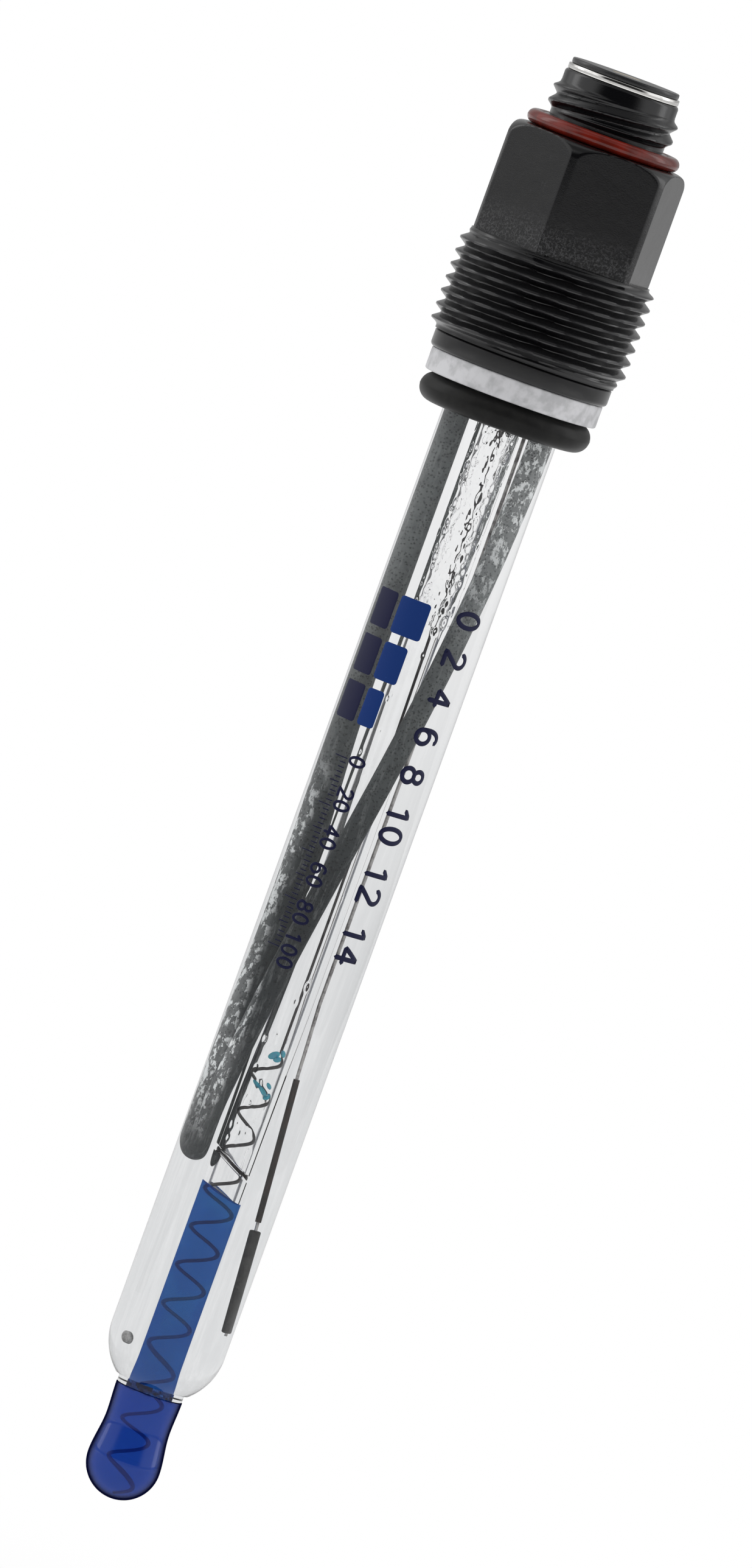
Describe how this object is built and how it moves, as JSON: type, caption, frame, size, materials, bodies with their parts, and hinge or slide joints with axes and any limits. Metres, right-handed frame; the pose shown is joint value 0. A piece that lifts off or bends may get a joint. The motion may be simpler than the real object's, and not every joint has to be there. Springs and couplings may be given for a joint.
{
  "type": "ph electrode",
  "caption": "Slim glass probe with a round blue sensing bulb at one end and a black threaded hexagonal screw-in head with a coaxial contact plug at the other.",
  "frame": {"origin": "on the axis, in the seat plane: the underside of the threaded head, from which the insertion length is counted", "axes": "+Z along the axis towards the plug head, the bulb is at -Z, and -Y is the front, the side with the printed scale"},
  "size_m": [0.0204, 0.0204, 0.1519],
  "materials": {
    "head_plastic": "satin black moulded plastic",
    "contact_metal": "polished plated ring",
    "insulator_plastic": "semi-gloss black",
    "contact_brass": "gold flashed brass",
    "solder": "dull grey solder",
    "red_rubber": "glossy red silicone rubber",
    "washer_plastic": "pale grey-white fluoroplastic",
    "black_rubber": "satin black rubber",
    "shaft_glass": "clear glass",
    "stem_glass": "clear glass",
    "membrane_glass": "clear membrane glass, blue from its filling",
    "blue_buffer": "clear blue filling",
    "lead_metal": "dark fine wire",
    "stopper_rubber": "grey silicone rubber",
    "sleeve_plastic": "white insulation",
    "black_insulation": "black insulation",
    "cord_rubber": "dark grey closed-cell rubber",
    "silver_wire": "silver wire",
    "silver_chloride": "grey-black silver chloride",
    "clear_gel": "clear gel",
    "ceramic": "porous grey ceramic",
    "resin": "black potting resin"
  },
  "bodies": {
    "root": {"head_body": "head_plastic", "contact_ring": "contact_metal", "contact_insulator": "insulator_plastic", "centre_contact": "contact_brass", "centre_solder": "solder", "ring_solder": "solder", "plug_ring": "red_rubber", "thrust_washer": "washer_plastic", "shaft_ring": "black_rubber", "glass_shaft": "shaft_glass", "inner_stem": "stem_glass", "membrane_bulb": "membrane_glass", "inner_buffer": "blue_buffer", "inner_lead": "lead_metal", "stem_stopper": "stopper_rubber", "inner_lead_sleeve": "sleeve_plastic", "compensation_cord": "cord_rubber", "reference_wire": "silver_wire", "wire_sleeve": "black_insulation", "reference_element": "silver_chloride", "reference_gel": "clear_gel", "reference_sleeve": "sleeve_plastic", "gel_stopper": "stopper_rubber", "ceramic_junction": "ceramic", "potting": "resin"}
  },
  "joints": []
}
